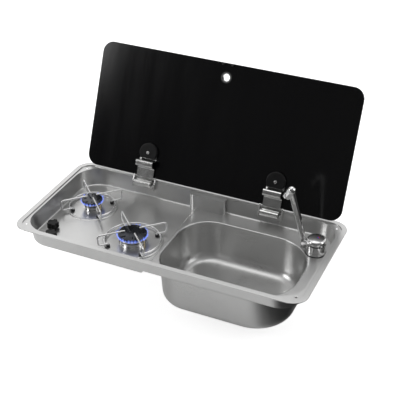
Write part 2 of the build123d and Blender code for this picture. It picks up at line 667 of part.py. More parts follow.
def build_pad_screw(x):
    y = lid_y(PAD_UP)
    low = GLASS_UNDER - PAD_T
    head = disc(x, y, low - PAD_SCREW_H, low, PAD_SCREW_R)
    head = fillet(head.faces().sort_by(Axis.Z)[0].edges(), PAD_SCREW_H * 0.6)
    slot = block(x - PAD_SCREW_R, x + PAD_SCREW_R, y - 0.5, y + 0.5, low - PAD_SCREW_H - 1, low - PAD_SCREW_H * 0.5)
    return opened(head - slot + disc(x, y, low, GLASS_UNDER - 0.1, PAD_SCREW_SHANK))


def build_glass():
    y = lid_y(GLASS_D / 2)
    face = Pos(LID_X, y, GLASS_UNDER) * RectangleRounded(GLASS_W, GLASS_D, GLASS_R)
    glass = extrude(face, amount=GLASS_T)
    glass = chamfer(glass.faces().sort_by(Axis.Z)[0].edges() + glass.faces().sort_by(Axis.Z)[-1].edges(), GLASS_EDGE)
    glass = glass - disc(LID_X, lid_y(FINGER_UP), GLASS_UNDER - 1, GLASS_UNDER + GLASS_T + 1, FINGER_R)
    return opened(glass)


def build_finger_ring():
    y = lid_y(FINGER_UP)
    low, high = GLASS_UNDER, GLASS_UNDER + GLASS_T
    ring = disc(LID_X, y, low - FINGER_RING_T, low, FINGER_RING_R)
    ring = ring + disc(LID_X, y, high, high + FINGER_RING_T, FINGER_RING_R)
    ring = ring + disc(LID_X, y, low, high, FINGER_R)
    return opened(ring - disc(LID_X, y, low - 5, high + 5, FINGER_BORE))


def build_buffers():
    parts = []
    for side in (-1, 1):
        bump = disc(LID_X + side * BUFFER_X, lid_y(BUFFER_UP), GLASS_UNDER - BUFFER_H, GLASS_UNDER, BUFFER_R)
        bump = fillet(bump.faces().sort_by(Axis.Z)[0].edges(), 0.8)
        parts.append(opened(bump))
    return Compound(children=parts)


# ---------------------------------------------------------------- hinge brackets
def wall_y(z):
    """The rear wall's inner face at a height."""
    return PAN_Y - (LEDGE_Z - z) * tan(radians(WALL_DRAFT))


def build_bracket(x):
    plate = yz_face([(wall_y(PLATE_BOTTOM), PLATE_BOTTOM), (wall_y(PLATE_TOP), PLATE_TOP),
                     (wall_y(PLATE_TOP) - PLATE_T, PLATE_TOP), (wall_y(PLATE_BOTTOM) - PLATE_T, PLATE_BOTTOM)])
    reach = EAR_X + EAR_T
    body = extrude(plate, amount=reach, both=True)
    low = PLATE_BOTTOM + 2
    ear = yz_face([(PIN_Y - EAR_R, PIN_Z), (PIN_Y - EAR_DEPTH, PLATE_TOP), (wall_y(low) - EAR_DEPTH, low),
                   (wall_y(low), low), (wall_y(PLATE_TOP), PLATE_TOP), (PAN_Y - 0.3, 2 * LEDGE_Z),
                   (PAN_Y + 1.2, RIM_T + 0.6), (PIN_Y + EAR_R, PIN_Z)])
    knuckle = Pos(0, PIN_Y, PIN_Z) * Rot(0, 90, 0) * Cylinder(EAR_R, EAR_T, align=(Align.CENTER, Align.CENTER, Align.MIN))
    pin_hole = Pos(-1, PIN_Y, PIN_Z) * Rot(0, 90, 0) * Cylinder(PIN_R, EAR_T + 2, align=(Align.CENTER, Align.CENTER, Align.MIN))
    one = extrude(ear, amount=EAR_T, dir=(1, 0, 0)) + knuckle - pin_hole
    body = body + Pos(EAR_X, 0, 0) * one + Pos(-EAR_X - EAR_T, 0, 0) * one
    for side in (-1, 1):
        body = body - rivet_frame(side * RIVET_X) * Cylinder(RIVET_R * 0.5, 12)
    return Pos(x, 0, 0) * (body + build_cover())


def build_cover():
    """The curled sheet that hides the pin from the front."""
    start = wall_y(COVER_LOW) - PLATE_T / 2
    corners = [(start, COVER_LOW), (COVER_Y, COVER_LOW), (COVER_Y, COVER_TOP), (COVER_END, COVER_TOP)]
    line = FilletPolyline(*corners, radius=COVER_BEND)
    sheet = make_face(offset(line, amount=COVER_T / 2, side=Side.BOTH))
    side = Plane(origin=(0, 0, 0), x_dir=(0, 1, 0), z_dir=(1, 0, 0))
    return extrude(side * sheet, amount=STRAP_W / 2, both=True)


def rivet_frame(x):
    """A place on the bracket's plate with its Z axis out of the wall."""
    y = wall_y(RIVET_Z) - PLATE_T
    return Pos(x, y, RIVET_Z) * Rot(90 - WALL_DRAFT, 0, 0)


def build_rivets():
    parts = []
    for x in HINGES:
        for side in (-1, 1):
            head = Cylinder(RIVET_R, RIVET_H, align=(Align.CENTER, Align.CENTER, Align.MIN))
            head = fillet(head.faces().sort_by(Axis.Z)[-1].edges(), RIVET_H * 0.6)
            stem = Cylinder(RIVET_R * 0.5, PLATE_T * 0.9, align=(Align.CENTER, Align.CENTER, Align.MAX))
            parts.append(rivet_frame(x + side * RIVET_X) * (head + stem))
    return Compound(children=parts)


def build_pins():
    length = 2 * (EAR_X + EAR_T)
    return Compound(children=[Pos(x, PIN_Y, PIN_Z) * Rot(0, 90, 0) * Cylinder(PIN_R, length)
                              for x in HINGES])


# ---------------------------------------------------------------- tap
def spout_frame(rise):
    """The folding pin's place: X points along the arm, Y along the pin."""
    a = radians(SPOUT_AZ)
    x = TAP_X + SPOUT_PIVOT * cos(a)
    y = TAP_Y + SPOUT_PIVOT * sin(a)
    return Pos(x, y, SPOUT_PIVOT_Z) * Rot(0, 0, SPOUT_AZ) * Rot(0, -rise, 0)


def build_tap_fixed():
    gasket = tube(TAP_X, TAP_Y, DECK_Z, DECK_Z + TAP_GASKET_T, TAP_GASKET_R, SHANK_R)
    z0 = DECK_Z + TAP_GASKET_T
    base = disc(TAP_X, TAP_Y, z0, TAP_BASE_TOP, TAP_R) + disc(TAP_X, TAP_Y, TAP_BASE_TOP, CORE_TOP, TAP_CORE_R)
    base = base + disc(TAP_X, TAP_Y, SHANK_END, z0, SHANK_R)
    base = base - disc(TAP_X, TAP_Y, STEM_Z, CORE_TOP + 1, STEM_BORE)
    base = base - disc(TAP_X, TAP_Y, SHANK_END - 1, DECK_Z, SHANK_BORE)
    sleeve = tube(TAP_X, TAP_Y, COLLAR_TOP + 0.3, SLEEVE_TOP, TAP_R, TAP_CORE_R)
    under = DECK_Z - SHEET
    washer = tube(TAP_X, TAP_Y, under - TAP_WASHER_T, under, TAP_WASHER_R, SHANK_R)
    nut_z = under - TAP_WASHER_T - TAP_NUT_H
    nut = extrude(Pos(TAP_X, TAP_Y, nut_z) * RegularPolygon(TAP_NUT_R, 6), amount=TAP_NUT_H)
    nut = nut - disc(TAP_X, TAP_Y, nut_z - 1, under, SHANK_R)
    tails = []
    for side in (-1, 1):
        x = TAP_X + side * TAP_TAIL_X
        tail = disc(x, TAP_Y, TAP_TAIL_END, DECK_Z, TAP_TAIL_R)
        tails.append(tail)
    return gasket, base, sleeve, washer, nut, Compound(children=tails)


def build_collar():
    """The ring that the spout swivels on, with the fork for its arm."""
    ring = tube(TAP_X, TAP_Y, TAP_BASE_TOP + 0.3, COLLAR_TOP, TAP_R, TAP_CORE_R + TAP_FIT)
    half = CHEEK_W / 2 + FORK_GAP
    fork = block(-9, 6, -half - CHEEK_T, half + CHEEK_T, TAP_BASE_TOP + 0.3, COLLAR_TOP)
    fork = Pos(TAP_X, TAP_Y, 0) * Rot(0, 0, SPOUT_AZ) * Pos(SPOUT_PIVOT, 0, 0) * fork
    cheek = Rot(90, 0, 0) * Cylinder(6.0, CHEEK_T)
    body = ring + (fork - disc(TAP_X, TAP_Y, TAP_BASE_TOP, COLLAR_TOP, TAP_CORE_R + 2))
    frame = spout_frame(0)
    for side in (-1, 1):
        web = block(-5.5, 6, -CHEEK_T / 2, CHEEK_T / 2, COLLAR_TOP - 4 - SPOUT_PIVOT_Z, 0)
        body = body + frame * Pos(0, side * (half + CHEEK_T / 2), 0) * (cheek + web)
    slot = block(-6.0, 8, -half, half, COLLAR_TOP - 5.5 - SPOUT_PIVOT_Z, 12)
    body = body - frame * slot
    return body - frame * Rot(90, 0, 0) * Cylinder(FOLD_PIN_R, 60)


def build_fold_pins():
    """The fork's pin with its domed heads."""
    half = CHEEK_W / 2 + FORK_GAP + CHEEK_T
    pin = Rot(90, 0, 0) * Cylinder(FOLD_PIN_R, 2 * half)
    for side in (-1, 1):
        head = Pos(0, side * (half + FOLD_HEAD_H / 2), 0) * Rot(90, 0, 0) * Cylinder(FOLD_HEAD_R, FOLD_HEAD_H)
        pin = pin + head
    return spout_frame(0) * pin


def build_arm():
    """The folding arm: narrow at the fork, fuller towards the nozzle."""
    start = Plane(origin=(7.5, 0, 0), z_dir=(1, 0, 0))
    middle = Plane(origin=(24.0, 0, 0), z_dir=(1, 0, 0))
    end = Plane(origin=(SPOUT_LENGTH, 0, 0), z_dir=(1, 0, 0))
    s0 = start * RectangleRounded(CHEEK_W, SPOUT_H0, 3.0)
    s1 = middle * RectangleRounded(SPOUT_W - 2, SPOUT_H0 + 2, 4.5)
    s2 = end * RectangleRounded(SPOUT_W, SPOUT_H1, 6.5)
    arm = loft([s0, s1], ruled=True) + loft([s1, s2], ruled=True)
    knuckle = Rot(90, 0, 0) * Cylinder(SPOUT_H0 / 2, CHEEK_W)
    neck = block(0, 7.5, -CHEEK_W / 2, CHEEK_W / 2, -SPOUT_H0 / 2 + 0.4, SPOUT_H0 / 2 - 0.4)
    arm = arm + knuckle + neck + Pos(SPOUT_LENGTH, 0, 0) * Sphere(NOZZLE_R)
    arm = arm - Rot(90, 0, 0) * Cylinder(FOLD_PIN_R + 0.05, 40)
    return spout_frame(SPOUT_RISE) * (arm - nozzle_tool(NOZZLE_R - 1.5, -1, NOZZLE_L))


def nozzle_tool(radius, start, end):
    """A cylinder along the nozzle's axis, from the arm's outer end."""
    body = Cylinder(radius, end - start, align=(Align.CENTER, Align.CENTER, Align.MIN))
    return Pos(SPOUT_LENGTH, 0, 0) * Rot(0, 90 + NOZZLE_TURN, 0) * Pos(0, 0, start) * body


def build_nozzle():
    shell = nozzle_tool(NOZZLE_R, 3, NOZZLE_L) + nozzle_tool(NOZZLE_R - 1.5, -1, 3)
    shell = shell - nozzle_tool(NOZZLE_BORE, NOZZLE_L - AERATOR_L, NOZZLE_L + 1)
    clear = Pos(SPOUT_LENGTH, 0, 0) * Sphere(NOZZLE_R) - nozzle_tool(NOZZLE_R - 1.5, -1, NOZZLE_L)
    arm_end = block(0, SPOUT_LENGTH, -SPOUT_W, SPOUT_W, -SPOUT_H1, SPOUT_H1)
    return spout_frame(SPOUT_RISE) * (shell - clear - (arm_end - nozzle_tool(NOZZLE_R - 1.5, -1, NOZZLE_L)))


def build_aerator():
    disc_ = nozzle_tool(NOZZLE_BORE, NOZZLE_L - AERATOR_L, NOZZLE_L - 1)
    holes = None
    for i in range(6):
        a = radians(60 * i)
        hole = nozzle_tool(0.9, NOZZLE_L - 2.5, NOZZLE_L)
        axis = Pos(SPOUT_LENGTH, 0, 0) * Rot(0, 90 + NOZZLE_TURN, 0)
        hole = axis * Pos(3.2 * cos(a), 3.2 * sin(a), NOZZLE_L - 2.5) * Cylinder(
            0.9, 4, align=(Align.CENTER, Align.CENTER, Align.MIN))
        holes = hole if holes is None else holes + hole
    return spout_frame(SPOUT_RISE) * (disc_ - holes)


def build_stem():
    """The cartridge stem that the lever turns."""
    stem = disc(0, 0, STEM_Z + 0.3, STEM_TOP, STEM_R)
    stem = stem + block(-TONGUE / 2, TONGUE / 2, -TONGUE / 2, TONGUE / 2, STEM_TOP, TILT_Z + 2.4)
    stem = stem + Pos(0, 0, TILT_Z) * Rot(90, 0, 0) * Cylinder(TILT_R, 2 * TILT_HALF)
    return Pos(TAP_X, TAP_Y, 0) * Rot(0, 0, LEVER_AZ) * stem


def build_lever():
    """A domed cap drawn out to a flat lever."""
    dome = disc(0, 0, DOME_Z, DOME_TOP, DOME_R)
    dome = fillet(dome.faces().sort_by(Axis.Z)[-1].edges(), 6.0)
    hull = make_hull((Circle(DOME_R * 0.72) + Pos(LEVER_REACH - LEVER_TIP_R, 0) * Circle(LEVER_TIP_R)).edges())
    blade = extrude(Pos(0, 0, DOME_TOP - LEVER_T - 3.0) * hull, amount=LEVER_T)
    blade = fillet(blade.faces().sort_by(Axis.Z)[-1].edges(), 1.2)
    cap = dome + blade
    cap = cap - disc(0, 0, DOME_Z - 1, DOME_TOP - DOME_WALL, HOLLOW_R)
    cap = cap - Pos(0, 0, TILT_Z) * Rot(90, 0, 0) * Cylinder(TILT_R + TAP_FIT, 2 * TILT_HALF + 0.6)
    mark = disc(0, 0, DOME_TOP - MARK_T, DOME_TOP, MARK_R)
    place = Pos(TAP_X, TAP_Y, 0) * Rot(0, 0, LEVER_AZ)
    return place * (cap - Pos(-6, 0, 0) * disc(0, 0, DOME_TOP - MARK_T, DOME_TOP + 1, MARK_R)), place * Pos(-6, 0, 0) * mark


def main():
    save("tray", build_tray())
    save("sink_bowl", build_bowl())
    names = ("waste_flange", "waste_gasket", "waste_nut", "waste_tail")
    for name, shape in zip(names, build_waste()):
        save(name, shape)
    sets = (("small", SMALL_BODY_R, SMALL_CAP_R, SMALL_PORTS, -90.0),
            ("large", LARGE_BODY_R, LARGE_CAP_R, LARGE_PORTS, 180.0))
    pieces = ("burner_cup", "burner_band", "burner_crown", "burner_cap", "mixer", "injector", "flame_probe")
    for name, body, cap_r, ports, az in sets:
        for piece, shape in zip(pieces, build_burner(name, body, cap_r, ports, az)):
            save(f"{name}_{piece}", shape)
    save("small_pan_support", build_support(SMALL_X, SMALL_Y, SMALL_FOOT_R, SMALL_REACH, SMALL_INNER))
    save("large_pan_support", build_support(LARGE_X, LARGE_Y, LARGE_FOOT_R, LARGE_REACH, LARGE_INNER))
    save("grommets", build_grommets())
    for tag, (x, y) in (("small", KNOB_A), ("large", KNOB_B)):
        save(f"{tag}_knob", build_knob(x, y))
        save(f"{tag}_spindle", build_spindle(x, y))
        save(f"{tag}_gas_valve", build_valve(x, y))
    for name, shape in zip(("gas_rail", "valve_link", "small_feed_pipe", "large_feed_pipe"), build_gas()):
        save(name, shape)
    save("lid_glass", build_glass())
    save("finger_ring", build_finger_ring())
    save("lid_buffers", build_buffers())
    for tag, x in zip(("left", "right"), HINGES):
        save(f"{tag}_hinge_strap", build_strap(x))
        save(f"{tag}_hinge_pad", build_pad(x))
        save(f"{tag}_hinge_bracket", build_bracket(x))
    save("pad_screws", Compound(children=[build_pad_screw(x) for x in HINGES]))
    save("hinge_pins", build_pins())
    save("bracket_rivets", build_rivets())
    names = ("tap_gasket", "tap_base", "tap_sleeve", "tap_washer", "tap_nut", "tap_tails")
    for name, shape in zip(names, build_tap_fixed()):
        save(name, shape)
    save("spout_collar", build_collar())
    save("spout_pin", build_fold_pins())
    save("spout_arm", build_arm())
    save("spout_nozzle", build_nozzle())
    save("spout_aerator", build_aerator())
    save("tap_stem", build_stem())
    lever, mark = build_lever()
    save("tap_lever", lever)
    save("tap_mark", mark)


main()
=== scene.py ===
# %% [markdown]
# # A two-burner hob and sink with a dark glass lid
# This lesson dresses a imported CAD model in Blender. The CAD pieces already have their true
# shapes and places, in metres, so each step below only adds what CAD leaves out: the camera,
# soft studio light, the finish of each piece, the flames of both burners, and four small dark
# dashes on each burner cap, which are painted shadows of its pan support's wires.

import math

import bpy
from mathutils import Matrix, Vector


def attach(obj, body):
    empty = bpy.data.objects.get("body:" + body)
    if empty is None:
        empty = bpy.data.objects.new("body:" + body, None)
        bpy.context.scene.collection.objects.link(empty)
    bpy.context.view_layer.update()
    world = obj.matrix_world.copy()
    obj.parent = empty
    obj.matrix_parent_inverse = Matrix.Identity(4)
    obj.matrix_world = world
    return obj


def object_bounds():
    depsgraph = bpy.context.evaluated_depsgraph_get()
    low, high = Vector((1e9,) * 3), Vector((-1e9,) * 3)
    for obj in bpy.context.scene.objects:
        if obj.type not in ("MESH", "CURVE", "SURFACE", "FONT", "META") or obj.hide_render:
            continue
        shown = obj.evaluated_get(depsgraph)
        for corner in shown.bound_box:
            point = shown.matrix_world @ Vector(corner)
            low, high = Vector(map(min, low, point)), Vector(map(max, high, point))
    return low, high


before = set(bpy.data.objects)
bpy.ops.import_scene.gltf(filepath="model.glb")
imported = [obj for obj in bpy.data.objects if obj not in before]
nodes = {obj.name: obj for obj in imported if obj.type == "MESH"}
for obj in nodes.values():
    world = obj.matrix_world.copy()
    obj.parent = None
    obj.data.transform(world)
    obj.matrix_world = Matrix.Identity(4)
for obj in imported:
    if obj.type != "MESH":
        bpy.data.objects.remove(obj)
cad_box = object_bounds()
print("pieces in the frame:", len(nodes))

# %% [markdown]
# ## The camera
# The picture was taken from the front right, about 32 degrees above the worktop, with a long
# lens. The three directions of the camera (its right, its up and its back) were fitted to the
# corners of the rim and of the lid, so they are written straight into its matrix. Aiming with
# a Track To constraint would be shorter, but could not keep the slight roll.

# %% Place the camera
MM = 0.001
RIGHT = Vector((0.9109, 0.4126, 0.0023))
DOWN = Vector((0.2226, -0.4867, -0.8447))
FORWARD = Vector((-0.3474, 0.7700, -0.5352))
EYE = Vector((873.1, -1820.55, 1356.5)) * MM

camera_data = bpy.data.cameras.new("camera")
camera_data.sensor_width = 36.0
camera_data.lens = 86.94
camera = bpy.data.objects.new("camera", camera_data)
bpy.context.scene.collection.objects.link(camera)
turn = Matrix((RIGHT, -DOWN, -FORWARD)).transposed().to_4x4()
camera.matrix_world = Matrix.Translation(EYE) @ turn
bpy.context.scene.camera = camera
bpy.context.scene.view_settings.view_transform = "Standard"
print("camera at", [round(v, 3) for v in EYE])

# %% [markdown]
# ## Node helpers
# Every finish below is a small node tree. These helpers add a node, join two sockets and make
# the two patterns that metal and plastic need most: an uneven tone and a fine bump. All
# patterns read Object coordinates, which are metres here, so a scale of 100 means centimetres.
# Noise keeps mostly near its middle value, so a map from 0.3 to 0.7 uses its whole range.

# %% Helpers for node trees
NOISE_SPAN = (0.3, 0.7)


def new_finish(name):
    finish = bpy.data.materials.new(name)
    finish.use_nodes = True
    tree = finish.node_tree
    return finish, tree, tree.nodes["Principled BSDF"]


def add(tree, kind, **settings):
    node = tree.nodes.new(kind)
    for key, value in settings.items():
        if key in node.inputs:
            node.inputs[key].default_value = value
        else:
            setattr(node, key, value)
    return node


def join(tree, out_socket, in_socket):
    tree.links.new(out_socket, in_socket)


def place(tree, stretch=(1, 1, 1), turned=(0, 0, 0)):
    coord = add(tree, "ShaderNodeTexCoord")
    mapping = add(tree, "ShaderNodeMapping")
    mapping.inputs["Scale"].default_value = stretch
    mapping.inputs["Rotation"].default_value = turned
    join(tree, coord.outputs["Object"], mapping.inputs["Vector"])
    return mapping.outputs["Vector"]


def noise(tree, where, scale, detail=3.0, rough=0.5):
    node = add(tree, "ShaderNodeTexNoise", Scale=scale, Detail=detail, Roughness=rough)
    join(tree, where, node.inputs["Vector"])
    return node.outputs["Fac"]


def grains(tree, scale, detail):
    return noise(tree, place(tree, (scale,) * 3), 1.0, detail)


def between(tree, value, low, high, span=NOISE_SPAN, curve="LINEAR"):
    ramp = add(tree, "ShaderNodeMapRange", interpolation_type=curve)
    ramp.inputs["From Min"].default_value = span[0]
    ramp.inputs["From Max"].default_value = span[1]
    ramp.inputs["To Min"].default_value = low
    ramp.inputs["To Max"].default_value = high
    join(tree, value, ramp.inputs["Value"])
    return ramp.outputs["Result"]


def times(tree, one, other):
    node = add(tree, "ShaderNodeMath", operation="MULTIPLY")
    join(tree, one, node.inputs[0])
    join(tree, other, node.inputs[1])
    return node.outputs["Value"]


def tint(tree, value, dark, light):
    ramp = add(tree, "ShaderNodeValToRGB")
    ramp.color_ramp.elements[0].color = (*dark, 1)
    ramp.color_ramp.elements[1].color = (*light, 1)
    ramp.color_ramp.elements[0].position = NOISE_SPAN[0]
    ramp.color_ramp.elements[1].position = NOISE_SPAN[1]
    join(tree, value, ramp.inputs["Fac"])
    return ramp.outputs["Color"]


def bump(tree, shader, height, depth, strength=0.5):
    node = add(tree, "ShaderNodeBump")
    node.inputs["Distance"].default_value = depth
    node.inputs["Strength"].default_value = strength
    join(tree, height, node.inputs["Height"])
    join(tree, node.outputs["Normal"], shader.inputs["Normal"])


def dress(finish, *names):
    for name in names:
        piece = nodes[name]
        for index in range(len(piece.material_slots)):
            piece.material_slots[index].material = finish
            piece.material_slots[index].link = "DATA"
        if not piece.material_slots:
            piece.data.materials.append(finish)
    print(finish.name, "on", len(names), "pieces")


# %% [markdown]
# ## Satin stainless sheet
# The tray and the bowl are pressed from one kind of sheet with a satin finish: the grain is
# too fine to see at arm's length, but it spreads the reflections into soft bands. A metal
# shader with a roughness near a third does this. Long, faint streaks along X vary the
# roughness as the grinding belt does, and a slow noise leaves the cloudy marks of handling.
# The grain also smears reflections across itself, so the shader is anisotropic. Its tangent is
# one fixed direction, which lies from front to back on flat faces and stands upright on the
# front and back walls.

# %% Satin steel
GRAIN_STRETCH = (60, 2400, 2400)
GRAIN_DEPTH = 0.00002
CLOUD_SCALE = 9
SMEAR = 0.7
SMEAR_ALONG = {"X": 0.1, "Y": 0.8, "Z": 0.6}


def satin_steel(name, dark, light, rough_low, rough_high):
    finish, tree, shader = new_finish(name)
    shader.inputs["Metallic"].default_value = 1.0
    grain = noise(tree, place(tree, GRAIN_STRETCH), 1.0, 2.0)
    cloud = grains(tree, CLOUD_SCALE, 4.0)
    join(tree, tint(tree, cloud, dark, light), shader.inputs["Base Color"])
    half_low, half_high = rough_low * 0.5, rough_high * 0.5
    blend = add(tree, "ShaderNodeMath", operation="ADD")
    join(tree, between(tree, grain, half_low, half_high), blend.inputs[0])
    join(tree, between(tree, cloud, half_low, half_high), blend.inputs[1])
    join(tree, blend.outputs["Value"], shader.inputs["Roughness"])
    bump(tree, shader, grain, GRAIN_DEPTH, 0.25)
    shader.inputs["Anisotropic"].default_value = SMEAR
    across = add(tree, "ShaderNodeCombineXYZ", **SMEAR_ALONG)
    join(tree, across.outputs["Vector"], shader.inputs["Tangent"])
    return finish


TRAY_STEEL = satin_steel("tray_satin_steel", (0.61, 0.61, 0.605), (0.66, 0.66, 0.655), 0.27, 0.34)
BOWL_STEEL = satin_steel("bowl_satin_steel", (0.57, 0.57, 0.565), (0.63, 0.63, 0.625), 0.26, 0.33)
dress(TRAY_STEEL, "tray")
dress(BOWL_STEEL, "sink_bowl")

# %% [markdown]
# ## Chrome plate and bright steel
# The tap and the burner cups are plated. Chrome is a metal with almost no roughness; what
# makes it believable is a little: tiny waves from polishing, and a faint film. The hinges and
# the wire supports are bright steel, made the same way with more roughness and flatter waves.

# %% Chrome and bright steel
FILM_SCALE = 60
FILM_SHADE = 0.9
WAVE_SCALE = 120


def bright_metal(name, colour, low, high, wave):
    finish, tree, shader = new_finish(name)
    shader.inputs["Metallic"].default_value = 1.0
    film = grains(tree, FILM_SCALE, 3.0)
    shade = tuple(c * FILM_SHADE for c in colour)
    join(tree, tint(tree, film, shade, colour), shader.inputs["Base Color"])
    join(tree, between(tree, film, low, high), shader.inputs["Roughness"])
    bump(tree, shader, grains(tree, WAVE_SCALE, 1.0), wave, 0.3)
    return finish


TAP_CHROME = bright_metal("tap_chrome", (0.80, 0.80, 0.80), 0.05, 0.10, 0.00004)
BURNER_CHROME = bright_metal("burner_chrome", (0.74, 0.74, 0.75), 0.08, 0.16, 0.00004)
STRAP_STEEL = bright_metal("strap_bright_steel", (0.82, 0.82, 0.81), 0.21, 0.24, 0.000005)
WIRE_STEEL = bright_metal("wire_bright_steel", (0.90, 0.90, 0.90), 0.27, 0.31, 0.000005)
dress(TAP_CHROME, "tap_base", "tap_sleeve", "spout_collar", "spout_pin", "spout_arm", "spout_nozzle",
      "finger_ring", "waste_flange")
dress(BURNER_CHROME, "small_burner_cup", "large_burner_cup")
dress(STRAP_STEEL, "left_hinge_strap", "right_hinge_strap", "left_hinge_bracket", "right_hinge_bracket",
      "hinge_pins", "bracket_rivets", "pad_screws")
dress(WIRE_STEEL, "small_pan_support", "large_pan_support")

# %% [markdown]
# ## Cast, plain and hidden metals
# Cast aluminium is dull and slightly pitted; brass and copper under the tray are plain pipe
# and bar with a brown bloom. One maker covers them: a metal with mottled tone and a bump.

# %% Cast and plain metals
MOTTLE_SCALE = 45


def dull_metal(name, dark, light, low, high, grain_scale, depth):
    finish, tree, shader = new_finish(name)
    shader.inputs["Metallic"].default_value = 1.0
    mottle = grains(tree, MOTTLE_SCALE, 4.0)
    grit = grains(tree, grain_scale, 2.0)
    join(tree, tint(tree, mottle, dark, light), shader.inputs["Base Color"])
    join(tree, between(tree, grit, low, high), shader.inputs["Roughness"])
    bump(tree, shader, grit, depth, 0.5)
    return finish


CROWN_METAL = dull_metal("burner_crown_aluminium", (0.50, 0.50, 0.51), (0.66, 0.66, 0.67), 0.22, 0.34,
                         900, 0.00004)
CAST_METAL = dull_metal("cast_aluminium", (0.42, 0.42, 0.42), (0.55, 0.55, 0.55), 0.4, 0.55, 1200, 0.0001)
BRASS_BAR = dull_metal("plain_brass", (0.55, 0.38, 0.16), (0.72, 0.53, 0.25), 0.25, 0.4, 500, 0.00003)
COPPER_PIPE = dull_metal("copper_pipe", (0.50, 0.26, 0.16), (0.72, 0.42, 0.28), 0.28, 0.42, 300, 0.00003)
ZINC_STEEL = dull_metal("zinc_plated_steel", (0.46, 0.48, 0.48), (0.60, 0.61, 0.60), 0.3, 0.45,
                        400, 0.00003)
dress(CROWN_METAL, "small_burner_crown", "large_burner_crown")
dress(CAST_METAL, "small_mixer", "large_mixer", "small_gas_valve", "large_gas_valve")
dress(BRASS_BAR, "small_injector", "large_injector", "small_spindle", "large_spindle", "valve_link",
      "tap_nut", "tap_stem")
dress(COPPER_PIPE, "small_feed_pipe", "large_feed_pipe", "tap_tails")
dress(ZINC_STEEL, "gas_rail")

# %% [markdown]
# ## Black enamel, moulded plastic and rubber
# The burner bands are enamelled: black with a soft gloss and a faint orange-peel surface, and
# the caps follow in a cell of their own. The knobs, the hinge pads and the waste are moulded
# plastic, greyer at the edges where light catches the fine texture. Rubber is the same with
# more roughness.

# %% Dark non-metals
TONE_SCALE = 70


def dark_skin(name, dark, light, low, high, grain_scale, depth, gloss=0.5):
    finish, tree, shader = new_finish(name)
    tone = grains(tree, TONE_SCALE, 3.0)
    grit = grains(tree, grain_scale, 2.0)
    join(tree, tint(tree, tone, dark, light), shader.inputs["Base Color"])
    join(tree, between(tree, grit, low, high), shader.inputs["Roughness"])
    shader.inputs["Specular IOR Level"].default_value = gloss
    bump(tree, shader, grit, depth, 0.4)
    return finish


BAND_ENAMEL = dark_skin("band_black_enamel", (0.004, 0.004, 0.004), (0.008, 0.008, 0.009), 0.35, 0.5,
                        700, 0.00005, 0.25)
KNOB_PLASTIC = dark_skin("knob_black_plastic", (0.008, 0.008, 0.008), (0.016, 0.016, 0.016), 0.4, 0.55,
                         1500, 0.00006, 0.25)
PAD_PLASTIC = dark_skin("pad_black_plastic", (0.004, 0.004, 0.004), (0.009, 0.009, 0.010), 0.32, 0.45,
                        1200, 0.00005, 0.3)
SEAL_RUBBER = dark_skin("seal_rubber", (0.012, 0.012, 0.012), (0.026, 0.026, 0.026), 0.55, 0.75,
                        900, 0.00008)
dress(BAND_ENAMEL, "small_burner_band", "large_burner_band")
dress(KNOB_PLASTIC, "small_knob", "large_knob", "waste_nut", "waste_tail", "spout_aerator")
dress(PAD_PLASTIC, "left_hinge_pad", "right_hinge_pad")
dress(SEAL_RUBBER, "waste_gasket", "tap_gasket", "grommets", "lid_buffers", "tap_washer")

# %% [markdown]
# ## Domed black caps
# The real caps are glossy and a little domed, so their front half mirrors the bright studio
# over the lid while the back half mirrors the black glass. The CAD disc is flat on top, so a
# wide, shallow bump tilts its normals. Its height, in metres, falls with the square of the
# distance from the burner's axis. This is shading only and the disc stays flat; a dome in the
# CAD would be the better way.

# %% Domed black caps
SMALL_BURNER = (-286.0, 48.0)
LARGE_BURNER = (-113.0, -50.0)
CAP_TOP = -20.5
DOME_FALL = 2.6
ENAMEL_DARK, ENAMEL_LIGHT = (0.004, 0.0045, 0.006), (0.008, 0.009, 0.012)
PEEL_SCALE = 700


def dome(tree, shader, centre, fall_rate):
    away = add(tree, "ShaderNodeVectorMath", operation="SUBTRACT")
    join(tree, place(tree), away.inputs[0])
    away.inputs[1].default_value = tuple(c * MM for c in centre)
    square = add(tree, "ShaderNodeVectorMath", operation="DOT_PRODUCT")
    join(tree, away.outputs["Vector"], square.inputs[0])
    join(tree, away.outputs["Vector"], square.inputs[1])
    fall = add(tree, "ShaderNodeMath", operation="MULTIPLY")
    fall.inputs[1].default_value = -fall_rate
    join(tree, square.outputs["Value"], fall.inputs[0])
    bump(tree, shader, fall.outputs["Value"], 1.0, 1.0)


def cap_enamel(name, centre):
    finish, tree, shader = new_finish(name)
    tone = grains(tree, TONE_SCALE, 3.0)
    join(tree, tint(tree, tone, ENAMEL_DARK, ENAMEL_LIGHT), shader.inputs["Base Color"])
    grit = grains(tree, PEEL_SCALE, 2.0)
    join(tree, between(tree, grit, 0.16, 0.24), shader.inputs["Roughness"])
    shader.inputs["Coat Weight"].default_value = 0.6
    shader.inputs["Coat Roughness"].default_value = 0.10
    shader.inputs["Coat Tint"].default_value = (0.80, 0.86, 1.0, 1)
    dome(tree, shader, (*centre, CAP_TOP), DOME_FALL)
    return finish


dress(cap_enamel("small_cap_enamel", SMALL_BURNER), "small_burner_cap")
dress(cap_enamel("large_cap_enamel", LARGE_BURNER), "large_burner_cap")

# %% [markdown]
# ## Crowned lever
# The tap's lever has a crowned top as well, and a flat one in the CAD, so it gets the same
# tilt over its chrome.

# %% Crowned lever
LEVER_TOP = (327.6, 89.0, 1.0)
LEVER_FALL = 6.0
LEVER_CHROME = bright_metal("lever_chrome", (0.80, 0.80, 0.80), 0.08, 0.14, 0.00004)
lever_tree = LEVER_CHROME.node_tree
dome(lever_tree, lever_tree.nodes["Principled BSDF"], LEVER_TOP, LEVER_FALL)
dress(LEVER_CHROME, "tap_lever")

